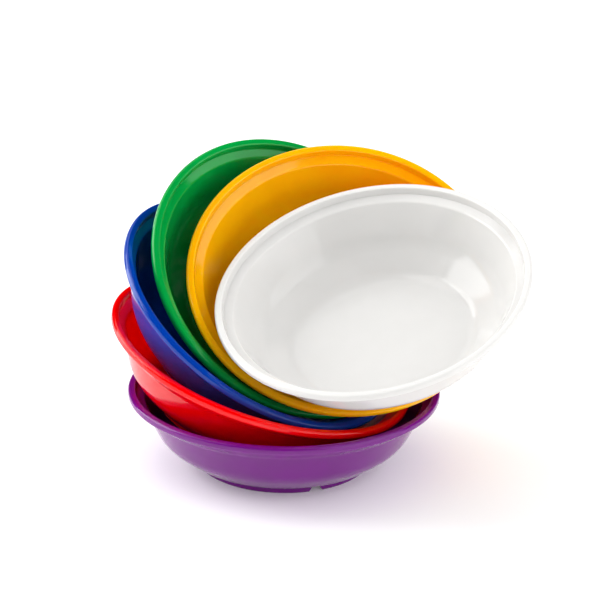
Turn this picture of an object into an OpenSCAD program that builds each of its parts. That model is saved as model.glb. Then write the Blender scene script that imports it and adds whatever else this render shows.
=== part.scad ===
// Six identical one-piece moulded serving bowls, fanned in a leaning nest on the lowest one.
// Millimetres, +Z up, +X to the right of the front view, -Y towards the viewer.

/* [Bowl] */
// Outside diameter of the lip
rim_d = 235; // [230:1:245]
// Height from the foot's bottom to the top of the lip
bowl_h = 58.8; // [56:0.2:64]
// Thickness of the wall and floor
wall_t = 2.8; // [2.4:0.1:3.2]

/* [Lip] */
// Height of the lip's outer face
lip_face = 4.7; // [4:0.1:6.4]
// Width of the raised lip, outside to inside
lip_w = 5.5; // [4.6:0.1:6.4]
// Radius of the lip's outer top edge
lip_round = 2.1; // [1.2:0.1:2.6]
// Step down from the lip's top to the inner ledge
lip_step = 5.6; // [4:0.1:6.6]
// Fall of the ledge towards the wall
ledge_fall = 3; // [1.5:0.1:4]
// Width of the ledge
ledge_w = 7; // [5:0.1:9]

/* [Wall] */
// Radius where the lower wall leaves the foot's skirt
base_r = 73.7; // [72:0.1:76]
// Height of that point
base_z = 7.1; // [6.8:0.1:7.8]
// Radius of the shoulder, where the wall turns steep
shoulder_r = 93.2; // [91.5:0.1:95.5]
// Height of the shoulder
shoulder_z = 21.4; // [20:0.1:23]
// Radius of the neck, where the wall turns out to the lip
neck_r = 105.7; // [104:0.1:107]
// Height of the neck
neck_z = 46.1; // [44:0.1:47.4]

/* [Foot] */
// Outside diameter of the foot ring
foot_d = 131.6; // [126:0.2:134]
// Width of the foot ring
foot_w = 4.4; // [3.5:0.1:6]
// Height of the foot ring's outer face
foot_h = 4.4; // [4:0.1:5]
// Depth of the recess inside the foot ring
recess_h = 3.2; // [2.6:0.1:3.6]
// Number of drain notches in the foot ring
notch_n = 3; // [0:1:6]
// Width of a drain notch at its top
notch_w = 6; // [4:0.5:14]
// Height of a drain notch
notch_h = 4; // [3:0.1:4.2]
// How much a drain notch widens on each side towards the foot's bottom
notch_flare = 2.6; // [0:0.2:4]
// Direction of the first notch about the bowl's axis, in degrees
notch_turn = -68; // [-180:1:180]

/* [Red bowl's lean] */
// Foot centre, X from the lowest bowl's axis
red_x = -33.5; // [-150:0.1:150]
// Foot centre, Y
red_y = 12.5; // [-150:0.1:150]
// Foot centre, Z
red_z = 27.4; // [0:0.1:200]
// Tilt from upright, in degrees
red_tilt = 17.3; // [0:0.1:70]
// Direction the mouth leans to, in degrees from +X
red_lean = -12; // [-180:0.1:180]

/* [Blue bowl's lean] */
// Foot centre, X
blue_x = -46.6; // [-150:0.1:150]
// Foot centre, Y
blue_y = 34.6; // [-150:0.1:150]
// Foot centre, Z
blue_z = 63.6; // [0:0.1:200]
// Tilt from upright, in degrees
blue_tilt = 34.3; // [0:0.1:70]
// Direction the mouth leans to, in degrees from +X
blue_lean = -25.4; // [-180:0.1:180]

/* [Green bowl's lean] */
// Foot centre, X
green_x = -15.7; // [-150:0.1:150]
// Foot centre, Y
green_y = 66.7; // [-150:0.1:150]
// Foot centre, Z
green_z = 95.4; // [0:0.1:200]
// Tilt from upright, in degrees
green_tilt = 45.8; // [0:0.1:70]
// Direction the mouth leans to, in degrees from +X
green_lean = -54.4; // [-180:0.1:180]

/* [Yellow bowl's lean] */
// Foot centre, X
yellow_x = 40.1; // [-150:0.1:150]
// Foot centre, Y
yellow_y = 48.1; // [-150:0.1:150]
// Foot centre, Z
yellow_z = 98; // [0:0.1:200]
// Tilt from upright, in degrees
yellow_tilt = 38.8; // [0:0.1:70]
// Direction the mouth leans to, in degrees from +X
yellow_lean = -84.8; // [-180:0.1:180]

/* [White bowl's lean] */
// Foot centre, X
white_x = 74.5; // [-150:0.1:150]
// Foot centre, Y
white_y = -14.1; // [-150:0.1:150]
// Foot centre, Z
white_z = 98.7; // [0:0.1:200]
// Tilt from upright, in degrees
white_tilt = 22.9; // [0:0.1:70]
// Direction the mouth leans to, in degrees from +X
white_lean = -120.1; // [-180:0.1:180]

/* [Hidden] */
$fn = 96;
arc_steps = 8;

rim_r = rim_d / 2;
foot_r = foot_d / 2;
floor_z = recess_h + wall_t;
shoulder_bend = 32;
base_bend = 30;
neck_bend = 7;
floor_bend = 20;
ledge_bend = 3;
edge = 1.2;
fine_edge = 0.8;

// The lip's underside slopes in to the wall, and its inner face leans back a little
skirt_w = 3.1;
skirt_fall = 2.2;
lip_draft = 0.9;

// The foot ring's faces lean a little, so that the bowl leaves its mould
foot_draft = 0.4;

// Points that the outer wall passes
base = [base_r, base_z];
shoulder = [shoulder_r, shoulder_z];
neck = [neck_r, neck_z];

// The inner wall runs parallel to the outer one
low_in = shifted(base, shoulder, wall_t);
high_in = shifted(shoulder, neck, wall_t);
ledge_top = [rim_r - lip_w - lip_draft, bowl_h - lip_step];
ledge_end = ledge_top - [ledge_w, ledge_fall];
floor_line = [[0, floor_z], [rim_r, floor_z]];
inner_neck = crossing([ledge_top, ledge_end], high_in);
inner_shoulder = crossing(low_in, high_in);
floor_edge = crossing(floor_line, low_in);

// Each corner is [radius, height, rounding]
outside_corners = [
    [0, recess_h, 0],
    [foot_r - foot_w - foot_draft, recess_h, edge],
    [foot_r - foot_w, 0, fine_edge],
    [foot_r, 0, fine_edge],
    [foot_r + foot_draft / 2, foot_h, fine_edge],
    [base.x, base.y, base_bend],
    [shoulder.x, shoulder.y, shoulder_bend],
    [neck.x, neck.y, neck_bend],
    [rim_r - skirt_w, bowl_h - lip_face - skirt_fall, edge],
    [rim_r, bowl_h - lip_face, edge],
    [rim_r, bowl_h, lip_round]
];
inside_corners = [
    [rim_r - lip_w, bowl_h, edge],
    [ledge_top.x, ledge_top.y, fine_edge],
    [inner_neck.x, inner_neck.y, ledge_bend],
    [inner_shoulder.x, inner_shoulder.y, shoulder_bend - wall_t],
    [floor_edge.x, floor_edge.y, floor_bend],
    [0, floor_z, 0]
];
corners = concat(outside_corners, inside_corners);

// Every bowl's stance: foot centre, then the unit vector along its axis
stances = [
    [[0, 0, 0], axis_of(0, 0)],
    [[red_x, red_y, red_z], axis_of(red_tilt, red_lean)],
    [[blue_x, blue_y, blue_z], axis_of(blue_tilt, blue_lean)],
    [[green_x, green_y, green_z], axis_of(green_tilt, green_lean)],
    [[yellow_x, yellow_y, yellow_z], axis_of(yellow_tilt, yellow_lean)],
    [[white_x, white_y, white_z], axis_of(white_tilt, white_lean)]
];
rim_level = bowl_h - lip_round;
centre_x = (max([for (s = stances) reach(s, 0, 1)]) + min([for (s = stances) reach(s, 0, -1)])) / 2;
centre_y = (max([for (s = stances) reach(s, 1, 1)]) + min([for (s = stances) reach(s, 1, -1)])) / 2;

// Unit vector of a bowl's axis, tilted from upright towards a direction
function axis_of(tilt, lean) = [sin(tilt) * cos(lean), sin(tilt) * sin(lean), cos(tilt)];

// How far a bowl's rim circle reaches along one row axis, on the side given by its sign
function reach(s, k, side) =
    s[0][k] + rim_level * s[1][k] + side * rim_r * sqrt(1 - s[1][k] * s[1][k]);

// The line through a and b, moved to its left by d
function shifted(a, b, d) =
    let (u = (b - a) / norm(b - a), n = [-u.y, u.x] * d) [a + n, b + n];

// Where two lines cross
function crossing(p, q) =
    let (r = p[1] - p[0], s = q[1] - q[0], w = q[0] - p[0])
    p[0] + r * (w.x * s.y - w.y * s.x) / (r.x * s.y - r.y * s.x);

// A rounded corner, as points on its arc
function rounded(prev, here, next, r) =
    let (
        u = (prev - here) / norm(prev - here),
        v = (next - here) / norm(next - here),
        half = acos(u * v) / 2,
        centre = here + (u + v) / norm(u + v) * r / sin(half),
        from = here + u * r / tan(half) - centre,
        to = here + v * r / tan(half) - centre,
        a = atan2(from.y, from.x),
        turn = signed_turn(atan2(to.y, to.x) - a)
    )
    [for (i = [0 : arc_steps]) centre + r * [cos(a + turn * i / arc_steps), sin(a + turn * i / arc_steps)]];

// An angle brought into -180 to 180 degrees
function signed_turn(a) = a > 180 ? a - 360 : (a < -180 ? a + 360 : a);

function flat(c) = [c.x, c.y];

// The bowl's half section, with every corner rounded
function section(c) =
    [for (i = [0 : len(c) - 1])
        let (prev = c[(i + len(c) - 1) % len(c)], here = c[i], next = c[(i + 1) % len(c)])
        each (here[2] > 0 ? rounded(flat(prev), flat(here), flat(next), here[2]) : [flat(here)])];

// A drain notch cut through the foot ring, wider at the bottom
module notch() {
    top = notch_w / 2;
    low = top + notch_flare * (1 + foot_h / notch_h);
    translate([foot_r - foot_w - 2 * foot_draft, 0, 0])
        rotate([90, 0, 90])
            linear_extrude(2 * foot_w)
                polygon([[-top, notch_h], [-low, -foot_h], [low, -foot_h], [top, notch_h]]);
}

// One bowl, upright on its foot
module bowl() {
    difference() {
        rotate_extrude()
            polygon(section(corners));
        for (i = [0 : 1 : notch_n - 1])
            rotate([0, 0, notch_turn + i * 360 / notch_n])
                notch();
    }
}

// Puts a bowl at its place in the fan, leaning towards a direction
module lean_at(place, tilt, lean) {
    translate(place - [centre_x, centre_y, 0])
        rotate([0, 0, lean])
            rotate([0, tilt, 0])
                rotate([0, 0, -lean])
                    children();
}

module purple_bowl() {
    color([0.47, 0.2, 0.56])
        lean_at([0, 0, 0], 0, 0)
            bowl();
}

module red_bowl() {
    color([0.87, 0.02, 0.07])
        lean_at([red_x, red_y, red_z], red_tilt, red_lean)
            bowl();
}

module blue_bowl() {
    color([0.05, 0.22, 0.65])
        lean_at([blue_x, blue_y, blue_z], blue_tilt, blue_lean)
            bowl();
}

module green_bowl() {
    color([0.02, 0.5, 0.24])
        lean_at([green_x, green_y, green_z], green_tilt, green_lean)
            bowl();
}

module yellow_bowl() {
    color([1, 0.66, 0.03])
        lean_at([yellow_x, yellow_y, yellow_z], yellow_tilt, yellow_lean)
            bowl();
}

module white_bowl() {
    color([0.93, 0.93, 0.91])
        lean_at([white_x, white_y, white_z], white_tilt, white_lean)
            bowl();
}

purple_bowl();
red_bowl();
blue_bowl();
green_bowl();
yellow_bowl();
white_bowl();
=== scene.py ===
"""A fanned nest of six gloss-moulded melamine serving bowls on a pale studio floor.

All six bowls share one lathed section. Each stands where its CAD solid stands, and rides on its
body. Lengths are in metres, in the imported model's frame, but the section's are in mm.
"""

import math

import bpy
import numpy as np
from mathutils import Matrix, Vector


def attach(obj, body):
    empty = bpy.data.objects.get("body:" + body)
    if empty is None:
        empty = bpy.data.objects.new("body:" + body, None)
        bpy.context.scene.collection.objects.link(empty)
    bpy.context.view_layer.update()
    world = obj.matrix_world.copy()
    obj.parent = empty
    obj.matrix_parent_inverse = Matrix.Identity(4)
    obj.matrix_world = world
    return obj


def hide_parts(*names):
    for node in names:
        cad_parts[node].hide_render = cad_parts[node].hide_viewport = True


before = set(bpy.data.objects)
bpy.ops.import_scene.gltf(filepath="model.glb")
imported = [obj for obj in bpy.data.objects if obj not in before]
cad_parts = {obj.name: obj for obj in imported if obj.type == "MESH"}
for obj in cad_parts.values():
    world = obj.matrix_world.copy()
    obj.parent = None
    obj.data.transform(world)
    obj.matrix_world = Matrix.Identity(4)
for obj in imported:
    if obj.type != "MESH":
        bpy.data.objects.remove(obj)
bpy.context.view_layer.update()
MM = 0.001

# ---------------------------------------------------------------- the bowl's section, in mm

# Outside radius of the lip, height of its top, and thickness of the wall and floor
RIM_R, BOWL_H, WALL = 117.5, 58.8, 2.8
# The lip: height of its outer face, its width, its top's rounding, and the step down inside it
LIP_FACE, LIP_W, LIP_ROUND, LIP_STEP = 4.7, 5.5, 2.1, 5.6
# How far the lip's inner face leans back, and how its underside slopes in to the wall
LIP_DRAFT, SKIRT_W, SKIRT_FALL = 0.9, 3.1, 2.2
# The sunken ledge inside the lip: its width, its fall and the bend where it meets the wall
LEDGE_W, LEDGE_FALL, LEDGE_BEND = 7.0, 3.0, 3.0
# Corners that the outer wall turns at, as (radius, height), and the radii it turns with
BASE, SHOULDER, NECK = (73.7, 7.1), (93.2, 21.4), (105.7, 46.1)
BASE_BEND, SHOULDER_BEND, NECK_BEND, FLOOR_BEND = 30.0, 32.0, 7.0, 20.0
# The foot ring: outside radius, width, height and lean of its faces, and the recess inside it
FOOT_R, FOOT_W, FOOT_H, FOOT_DRAFT, RECESS = 65.8, 4.4, 4.4, 0.4, 3.2
# Edge roundings. They are the CAD model's, but softer at the foot's outer root, which takes EDGE,
# and under the lip, which takes the last two.
EDGE, FINE_EDGE, SOFT_EDGE, SKIRT_BEND = 1.2, 0.8, 2.1, 3.0
# Drain notches through the foot ring: number, width and height at the roof, widening of each side
# towards the table, and the direction of the first about the axis in degrees
NOTCH_N, NOTCH_W, NOTCH_H, NOTCH_FLARE, NOTCH_TURN = 3, 6.0, 4.0, 2.6, -68.0

# Rings of points lie no further apart than this along the section
RING_GAP = 6.0
# Arcs: the largest turn of a step in degrees, its largest length, and the fewest steps
ARC_TURN, ARC_STEP, ARC_FEWEST = 9, 1.6, 6
# Distance from an arc's end to the extra point that holds the flat beside it flat
HOLD = 0.12


def shifted(a, b, d):
    """The line through a and b, moved to its left by d."""
    a, b = np.array(a), np.array(b)
    u = (b - a) / np.linalg.norm(b - a)
    n = np.array([-u[1], u[0]]) * d
    return a + n, b + n


def crossing(p, q):
    """Where two lines cross."""
    r, s, w = p[1] - p[0], q[1] - q[0], q[0] - p[0]
    t = (w[0] * s[1] - w[1] * s[0]) / (r[0] * s[1] - r[1] * s[0])
    return p[0] + r * t


def rounded(prev, here, after, radius):
    """The corner at here as an arc of fine steps, with a point just before and just after it."""
    u = (prev - here) / np.linalg.norm(prev - here)
    v = (after - here) / np.linalg.norm(after - here)
    half = math.acos(float(u @ v)) / 2
    middle = u + v
    centre = here + middle / np.linalg.norm(middle) * radius / math.sin(half)
    reach = radius / math.tan(half)
    start, end = here + u * reach - centre, here + v * reach - centre
    a = math.atan2(start[1], start[0])
    turn = math.remainder(math.atan2(end[1], end[0]) - a, 2 * math.pi)
    by_turn = math.ceil(abs(turn) / math.radians(ARC_TURN))
    by_length = math.ceil(abs(turn) * radius / ARC_STEP)
    steps = max(ARC_FEWEST, by_turn, by_length)
    angles = [a + turn * i / steps for i in range(steps + 1)]
    arc = [centre + radius * np.array([math.cos(t), math.sin(t)]) for t in angles]
    return [here + u * (reach + HOLD)] + arc + [here + v * (reach + HOLD)]


def filled(points, gap):
    """The same outline with points added, so that no stretch is longer than gap."""
    out = [points[0]]
    for p, q in zip(points, points[1:]):
        n = math.ceil(np.linalg.norm(q - p) / gap)
        out += [p + (q - p) * k / n for k in range(1, n + 1)]
    return out


def section():
    """The half section as (radius, height) points, from under the floor out and over the lip."""
    floor = RECESS + WALL
    low_in = shifted(BASE, SHOULDER, WALL)
    high_in = shifted(SHOULDER, NECK, WALL)
    ledge_top = np.array([RIM_R - LIP_W - LIP_DRAFT, BOWL_H - LIP_STEP])
    ledge = (ledge_top, ledge_top - [LEDGE_W, LEDGE_FALL])
    floor_line = (np.array([0.0, floor]), np.array([RIM_R, floor]))
    corners = [
        ((0, RECESS), 0),
        ((FOOT_R - FOOT_W - FOOT_DRAFT, RECESS), EDGE),
        ((FOOT_R - FOOT_W, 0), FINE_EDGE),
        ((FOOT_R, 0), FINE_EDGE),
        ((FOOT_R + FOOT_DRAFT / 2, FOOT_H), EDGE),
        (BASE, BASE_BEND),
        (SHOULDER, SHOULDER_BEND),
        (NECK, NECK_BEND),
        ((RIM_R - SKIRT_W, BOWL_H - LIP_FACE - SKIRT_FALL), SKIRT_BEND),
        ((RIM_R, BOWL_H - LIP_FACE), SOFT_EDGE),
        ((RIM_R, BOWL_H), LIP_ROUND),
        ((RIM_R - LIP_W, BOWL_H), EDGE),
        (ledge_top, FINE_EDGE),
        (crossing(ledge, high_in), LEDGE_BEND),
        (crossing(low_in, high_in), SHOULDER_BEND - WALL),
        (crossing(floor_line, low_in), FLOOR_BEND),
        ((0, floor), 0),
    ]
    points = []
    for i, (here, radius) in enumerate(corners):
        here = np.array(here, float)
        if radius:
            prev = np.array(corners[i - 1][0], float)
            after = np.array(corners[i + 1][0], float)
            points += rounded(prev, here, after, radius)
        else:
            points.append(here)
    return filled(points, RING_GAP)


# ---------------------------------------------------------------- the bowl's mesh

# Evenly spaced spokes round a bowl
SPOKES = 240
# Spokes across a notch's sloped side, as shares of its widening, from its roof outwards
SLOPE_SPOKES = (-0.06, 0.02, 0.1, 0.3, 0.5, 0.7, 0.9, 0.98, 1.06)
# An even spoke nearer than this share of the even spacing to one of those is left out
SPOKE_ROOM = 0.35
# How far inside the foot ring's inner face, in mm, points are still cut by a notch
NOTCH_REACH = 0.1
# Share of a foot point's distance to the notch's roof that is kept, so that no face vanishes
NOTCH_SLIVER = 0.03
# Faces that meet at more than this many degrees are shaded with a sharp edge
CREASE = 34


def spoke_angles():
    """The spokes' angles in degrees: even, with a close set over each side of each notch."""
    even = [360 * i / SPOKES for i in range(SPOKES)]
    close = []
    for k in range(NOTCH_N):
        for side in (-1, 1):
            for t in SLOPE_SPOKES:
                along = NOTCH_W / 2 + NOTCH_FLARE * t
                off = side * math.degrees(along / FOOT_R)
                close.append(NOTCH_TURN + 360 * k / NOTCH_N + off)
    near = SPOKE_ROOM * 360 / SPOKES
    kept = [a for a in even if all(abs(math.remainder(a - c, 360)) > near for c in close)]
    return sorted((a % 360) for a in kept + close)


def notch_roof(angle):
    """Height in mm up to which the foot ring is cut away at an angle about the axis."""
    turns = [angle - NOTCH_TURN - 360 * k / NOTCH_N for k in range(NOTCH_N)]
    along = math.radians(min(abs(math.remainder(t, 360)) for t in turns)) * FOOT_R
    return NOTCH_H * min(1.0, max(0.0, (NOTCH_W / 2 + NOTCH_FLARE - along) / NOTCH_FLARE))


def notched(radius, height, roof):
    """The height of a section point, raised almost to the notch's roof where it is cut away."""
    inner, outer = FOOT_R - FOOT_W - FOOT_DRAFT - NOTCH_REACH, FOOT_R + FOOT_DRAFT
    if radius < inner or radius > outer or height >= roof:
        return height
    return roof - NOTCH_SLIVER * (roof - height)


def lathed(outline, angles):
    """Points in metres and faces of a section turned about Z, with both its ends on the axis."""
    rings = outline[1:-1]
    points = [(0, 0, outline[0][1] * MM)]
    for r, z in rings:
        for a in angles:
            t, height = math.radians(a), notched(r, z, notch_roof(a))
            points.append((r * MM * math.cos(t), r * MM * math.sin(t), height * MM))
    points.append((0, 0, outline[-1][1] * MM))
    n = len(angles)
    pairs = [(j, (j + 1) % n) for j in range(n)]
    last = 1 + (len(rings) - 1) * n
    faces = [(0, 1 + k, 1 + j) for j, k in pairs]
    for low in range(1, last, n):
        faces += [(low + j, low + k, low + n + k, low + n + j) for j, k in pairs]
    faces += [(last + j, last + k, last + n) for j, k in pairs]
    return points, faces


def bowl_mesh(name, place):
    """One closed mesh in its place in the nest, which keeps its upright coordinates beside it."""
    upright, faces = lathed(section(), spoke_angles())
    mesh = bpy.data.meshes.new(name)
    mesh.from_pydata([place @ Vector(p) for p in upright], [], faces)
    mesh.polygons.foreach_set("use_smooth", [True] * len(mesh.polygons))
    mesh.set_sharp_from_angle(angle=math.radians(CREASE))
    kept = mesh.attributes.new("upright", "FLOAT_VECTOR", "POINT")
    kept.data.foreach_set("vector", np.array(upright, np.float32).ravel())
    return mesh


# ---------------------------------------------------------------- where each bowl stands

# Share of the greatest distance from a bowl's middle beyond which a point is on the lip's edge
LIP_EDGE = 0.995
# Decimal places to which faces' normals agree where they are taken to face one way
SAME_WAY = 2


def axis_of(cad_name):
    """A bowl's axis: the direction that most of its flat floor and recess faces."""
    areas = {}
    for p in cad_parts[cad_name].data.polygons:
        n = p.normal if p.normal.z > 0 else -p.normal
        key = tuple(round(c, SAME_WAY) for c in n)
        total, summed = areas.get(key, (0.0, Vector()))
        areas[key] = (total + p.area, summed + n * p.area)
    return max(areas.values(), key=lambda v: v[0])[1].normalized()


def stance(cad_name):
    """The matrix that carries an upright bowl at the origin to the CAD bowl's place.

    The foot's height and the centre of a circle through the lip's edge give that place.
    """
    axis = axis_of(cad_name)
    turn = Vector((0, 0, 1)).rotation_difference(axis).to_matrix()
    upright = np.array([v.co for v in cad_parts[cad_name].data.vertices]) @ np.array(turn)
    foot = upright[:, 2].min()
    middle = (upright.min(0) + upright.max(0)) / 2
    far = np.hypot(*(upright[:, :2] - middle[:2]).T)
    edge = upright[far > LIP_EDGE * far.max()][:, :2]
    rows = np.column_stack([2 * edge, np.ones(len(edge))])
    x, y, _ = np.linalg.lstsq(rows, (edge**2).sum(1), rcond=None)[0]
    return Matrix.Translation(turn @ Vector((x, y, foot))) @ turn.to_4x4()


# ---------------------------------------------------------------- shader nodes


def node(tree, kind, inputs=(), **settings):
    """Adds a shader node; inputs are (socket, constant or another node's output) pairs."""
    made = tree.nodes.new("ShaderNode" + kind)
    for key, value in settings.items():
        setattr(made, key, value)
    for socket, value in inputs:
        if isinstance(value, bpy.types.NodeSocket):
            tree.links.new(value, made.inputs[socket])
        else:
            made.inputs[socket].default_value = value
    return made


def noise(tree, where, scale, detail, distortion=0.0):
    """Noise from 0 to 1, of scale features to the metre."""
    pairs = [("Vector", where), ("Scale", scale), ("Detail", detail), ("Distortion", distortion)]
    return node(tree, "TexNoise", pairs).outputs["Fac"]


def ramp(tree, value, low, high, to_low=0.0, to_high=1.0):
    """Carries a value's span low to high onto to_low to to_high, smoothly, and holds it beyond."""
    pairs = [("Value", value), ("From Min", low), ("From Max", high)]
    pairs += [("To Min", to_low), ("To Max", to_high)]
    return node(tree, "MapRange", pairs, interpolation_type="SMOOTHSTEP").outputs["Result"]


def sums(tree, kind, a, b):
    """One step of arithmetic on two values."""
    return node(tree, "Math", [(0, a), (1, b)], operation=kind).outputs[0]


def blend(tree, amount, a, b):
    """The colour a where amount is 0, and b where it is 1."""
    return node(tree, "Mix", [(0, amount), (6, a), (7, b)], data_type="RGBA").outputs[2]


def band(tree, value, middle, half):
    """1 within half of middle, fading to 0 at twice that."""
    off = sums(tree, "ABSOLUTE", sums(tree, "SUBTRACT", value, middle), 0.0)
    return ramp(tree, off, half, 2 * half, to_low=1.0, to_high=0.0)


def shade(colour, k):
    """A colour made k times as bright, as a colour socket takes it."""
    return tuple(min(1.0, c * k) for c in colour) + (1.0,)


# ---------------------------------------------------------------- melamine

# Heights in metres over which the rubbing of the foot fades out, and the noise that breaks it up
RUB_LOW, RUB_HIGH, RUB_SCALE = 0.0001, 0.0012, 420.0
# The mould's parting line: mm above the lip's lower edge, and half its width in metres
PART_RISE, PART_HALF = 0.9, 0.0002
# Scales of the pigment's blotches and specks, and how strongly a speck shows
BLOTCH_SCALE, SPECK_SCALE, SPECK_SHOWS = 38.0, 1600.0, 0.3
# How many times further than a blotch a speck strays from the colour, and how much of the
# colour a rubbed foot keeps and how much grey it gains
SPECK_DARK, RUB_KEEPS, RUB_GAINS = 4, 0.5, 0.12
# Scales of the wiping haze and the hairlines, and half a hairline's width in noise
HAZE_SCALE, HAIRLINE_SCALE, HAIRLINE_HALF = 17.0, 26.0, 0.0016
# Roughness added by haze, hairlines and rubbing
HAZE_ROUGH, HAIRLINE_ROUGH, RUB_ROUGH = 0.045, 0.05, 0.4
# Scales of the moulding skin and of the slow wave in it
SKIN_SCALE, WAVE_SCALE = 240.0, 28.0
# Heights of skin, wave, parting line and rubbing, in units of the relief's depth in metres
SKIN_HIGH, WAVE_HIGH, PART_HIGH, RUB_DEEP = 0.5, 3.0, 1.5, 2.0
RELIEF_DEPTH, RELIEF_STRENGTH = 0.00002, 0.25
# Light in the resin: its refraction, the share that enters the wall, and the share of the depth
# that each primary spreads to, at no colour and for each unit of its colour
IOR, ENTERS, SPREAD, SPREAD_BY_COLOUR = 1.44, 0.8, 0.25, 0.75


def bowl_masks(tree, where):
    """Where the foot has been rubbed, and where the mould's parting line runs round the lip."""
    height = node(tree, "SeparateXYZ", [(0, where)]).outputs["Z"]
    foot = ramp(tree, height, RUB_LOW, RUB_HIGH, to_low=1.0, to_high=0.0)
    patches = ramp(tree, noise(tree, where, RUB_SCALE, detail=3.0), low=0.4, high=0.62)
    part = band(tree, height, (BOWL_H - LIP_FACE + PART_RISE) * MM, PART_HALF)
    return sums(tree, "MULTIPLY", foot, patches), part


def pigment(tree, where, colour, mottling, rubbed):
    """The colour: broad blotches and fine specks, dulled where the foot is rubbed."""
    clouds = noise(tree, where, BLOTCH_SCALE, detail=4.0, distortion=0.6)
    blotch = ramp(tree, clouds, low=0.3, high=0.7)
    grains = noise(tree, where, SPECK_SCALE, detail=1.0)
    speck = ramp(tree, grains, low=0.62, high=0.8, to_high=SPECK_SHOWS)
    body = blend(tree, blotch, shade(colour, 1 - mottling), shade(colour, 1 + mottling))
    flecked = blend(tree, speck, body, shade(colour, 1 - SPECK_DARK * mottling))
    worn = shade([RUB_KEEPS * c + RUB_GAINS for c in colour], 1.0)
    return blend(tree, rubbed, flecked, worn)


def roughness(tree, where, polish, rubbed):
    """The mould's polish with wiping haze, hairlines and the rubbed foot."""
    wiped = noise(tree, where, HAZE_SCALE, detail=5.0, distortion=1.2)
    haze = ramp(tree, wiped, low=0.35, high=0.75, to_low=polish, to_high=polish + HAZE_ROUGH)
    swirl = noise(tree, where, HAIRLINE_SCALE, detail=1.5, distortion=4.0)
    line = band(tree, swirl, middle=0.5, half=HAIRLINE_HALF)
    rough = sums(tree, "ADD", haze, sums(tree, "MULTIPLY", line, HAIRLINE_ROUGH))
    return sums(tree, "ADD", rough, sums(tree, "MULTIPLY", rubbed, RUB_ROUGH))


def relief(tree, where, rubbed, part):
    """The surface's normal: moulding skin on a slow wave, parting line raised, rubbing sunk."""
    skin = sums(tree, "MULTIPLY", noise(tree, where, SKIN_SCALE, detail=2.0), SKIN_HIGH)
    wave = sums(tree, "MULTIPLY", noise(tree, where, WAVE_SCALE, detail=1.0), WAVE_HIGH)
    raised = sums(tree, "ADD", wave, sums(tree, "MULTIPLY", part, PART_HIGH))
    high = sums(tree, "ADD", skin, raised)
    high = sums(tree, "SUBTRACT", high, sums(tree, "MULTIPLY", rubbed, RUB_DEEP))
    pairs = [("Strength", RELIEF_STRENGTH), ("Distance", RELIEF_DEPTH), ("Height", high)]
    return node(tree, "Bump", pairs).outputs["Normal"]


def melamine(name, colour, polish, mottling, depth):
    """Gloss-moulded melamine, laid out by a bowl's upright coordinates."""
    mat = bpy.data.materials.new(name)
    mat.use_nodes = True
    tree = mat.node_tree
    bsdf = tree.nodes["Principled BSDF"]
    where = node(tree, "Attribute", attribute_name="upright").outputs["Vector"]
    rubbed, part = bowl_masks(tree, where)
    tree.links.new(pigment(tree, where, colour, mottling, rubbed), bsdf.inputs["Base Color"])
    tree.links.new(roughness(tree, where, polish, rubbed), bsdf.inputs["Roughness"])
    tree.links.new(relief(tree, where, rubbed, part), bsdf.inputs["Normal"])
    bsdf.inputs["IOR"].default_value = IOR
    bsdf.inputs["Subsurface Weight"].default_value = ENTERS
    spread = [SPREAD + SPREAD_BY_COLOUR * c for c in colour]
    bsdf.inputs["Subsurface Radius"].default_value = spread
    bsdf.inputs["Subsurface Scale"].default_value = depth
    return mat


# ---------------------------------------------------------------- the six bowls

# Each bowl's linear colour, the roughness of its polish, how far its mottling strays from the
# colour, and how deep light goes into its wall in metres
BOWLS = {
    "purple": ((0.162, 0.005, 0.205), 0.07, 0.04, 0.003),
    "red": ((0.8, 0.0004, 0.0008), 0.06, 0.04, 0.016),
    "blue": ((0.001, 0.043, 0.33), 0.06, 0.04, 0.002),
    "green": ((0.001, 0.31, 0.05), 0.06, 0.04, 0.003),
    "yellow": ((0.995, 0.405, 0.001), 0.07, 0.03, 0.008),
    "white": ((0.665, 0.658, 0.645), 0.1, 0.008, 0.003),
}


def make_bowl(colour_name, colour, polish, mottling, depth):
    """A bowl in its own melamine, in place of its CAD solid."""
    name = colour_name + "_bowl"
    bowl = bpy.data.objects.new(name + "_moulding", bowl_mesh(name, stance(name)))
    bpy.context.scene.collection.objects.link(bowl)
    look = melamine(colour_name + "_melamine", colour, polish, mottling, depth)
    bowl.data.materials.append(look)
    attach(bowl, name)
    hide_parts(name)


# ---------------------------------------------------------------- studio

# The camera: degrees above the horizontal and of roll, metres from the lowest bowl's foot, and
# its lens, sensor and clip distance
CAMERA_UP, CAMERA_ROLL, CAMERA_AWAY = 24.15, 0.75, 2.0
CAMERA_LENS, CAMERA_SENSOR, CAMERA_CLIP = 157.3, 36, 50
# How far to the right of that foot and above it the camera aims, for each metre of distance
AIM_RIGHT, AIM_ABOVE = 0.00643, 0.05984

# The floor: half its side, its grey, its roughness and its glow
FLOOR_HALF, FLOOR_GREY, FLOOR_ROUGH, FLOOR_GLOW = 6, 0.9, 0.7, 0.08

# The white tent's strength, and the picture's exposure in stops
TENT, EXPOSURE = 0.71, 0.28
# Distance of the soft boxes from the point that they face
BOX_AWAY, BOX_MIDDLE = 1.8, Vector((0, 0, 0.1))
# Each box's name, its degrees round from +X and up, its side in metres and its radiance
BOXES = (
    ("left_box", 164, 23, 1.4, 3.4),
    ("left_high_box", 180, 52, 1.0, 1.7),
    ("back_box", 116, 55, 1.3, 0.95),
    ("right_box", 334, 26, 1.9, 1.45),
)


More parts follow.
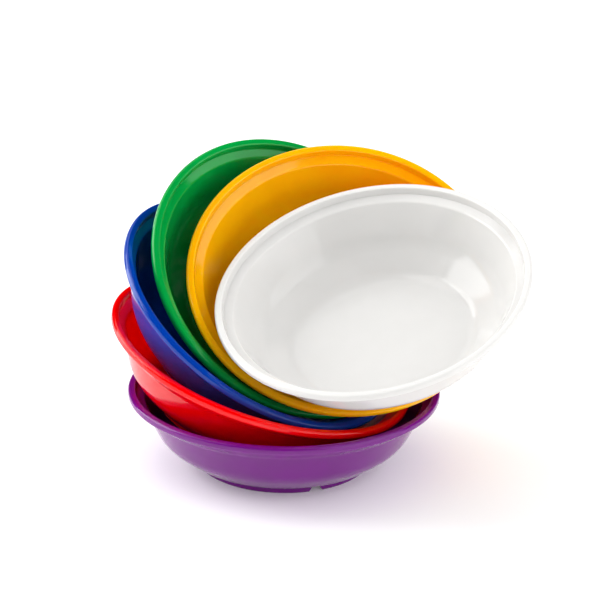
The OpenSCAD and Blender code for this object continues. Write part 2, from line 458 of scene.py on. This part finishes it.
def make_camera():
    """Looks along +Y from above with a hair of roll, from a distance, as a long lens sees it."""
    up, roll = math.radians(CAMERA_UP), math.radians(CAMERA_ROLL)
    ahead = Vector((0, math.cos(up), -math.sin(up)))
    level, raised = Vector((1, 0, 0)), Vector((0, math.sin(up), math.cos(up)))
    right = level * math.cos(roll) + raised * math.sin(roll)
    above = raised * math.cos(roll) - level * math.sin(roll)
    data = bpy.data.cameras.new("camera")
    data.sensor_width = CAMERA_SENSOR
    data.lens = CAMERA_LENS
    data.clip_end = CAMERA_CLIP
    camera = bpy.data.objects.new("camera", data)
    bpy.context.scene.collection.objects.link(camera)
    aim = (ahead + AIM_RIGHT * right + AIM_ABOVE * above).normalized()
    right = (right - aim * right.dot(aim)).normalized()
    turn = Matrix((right, right.cross(aim), -aim)).transposed()
    place = stance("purple_bowl").translation - ahead * CAMERA_AWAY
    camera.matrix_world = Matrix.Translation(place) @ turn.to_4x4()
    bpy.context.scene.camera = camera


def make_floor():
    """A plain white table that glows a little, so that shadows stay faint."""
    mesh = bpy.data.meshes.new("floor")
    s = FLOOR_HALF
    mesh.from_pydata([(-s, -s, 0), (s, -s, 0), (s, s, 0), (-s, s, 0)], [], [(0, 1, 2, 3)])
    floor = bpy.data.objects.new("floor", mesh)
    bpy.context.scene.collection.objects.link(floor)
    mat = bpy.data.materials.new("floor")
    mat.use_nodes = True
    bsdf = mat.node_tree.nodes["Principled BSDF"]
    bsdf.inputs["Base Color"].default_value = (FLOOR_GREY, FLOOR_GREY, FLOOR_GREY, 1)
    bsdf.inputs["Roughness"].default_value = FLOOR_ROUGH
    bsdf.inputs["Emission Color"].default_value = (1, 1, 1, 1)
    bsdf.inputs["Emission Strength"].default_value = FLOOR_GLOW
    mesh.materials.append(mat)


def soft_box(name, turn, rise, size, radiance):
    """A square soft box of even brightness, at an angle round the nest and an angle up."""
    turn, rise = math.radians(turn), math.radians(rise)
    level = math.cos(rise)
    ray = Vector((level * math.cos(turn), level * math.sin(turn), math.sin(rise)))
    data = bpy.data.lights.new(name, "AREA")
    data.shape = "SQUARE"
    data.size = size
    data.energy = radiance * math.pi * size * size
    light = bpy.data.objects.new(name, data)
    bpy.context.scene.collection.objects.link(light)
    light.location = BOX_MIDDLE + ray * BOX_AWAY
    light.rotation_euler = (-ray).to_track_quat("-Z", "Y").to_euler()


def make_light():
    """An even white tent that gloss doesn't mirror, with the soft boxes that it does."""
    world = bpy.data.worlds.new("tent")
    bpy.context.scene.world = world
    world.use_nodes = True
    back = world.node_tree.nodes["Background"]
    back.inputs["Color"].default_value = (1, 1, 1, 1)
    back.inputs["Strength"].default_value = TENT
    world.cycles_visibility.glossy = False
    for box in BOXES:
        soft_box(*box)


# ---------------------------------------------------------------- the scene

for colour_name, look in BOWLS.items():
    make_bowl(colour_name, *look)
make_camera()
make_floor()
make_light()
bpy.context.scene.view_settings.view_transform = "Standard"
bpy.context.scene.view_settings.exposure = EXPOSURE
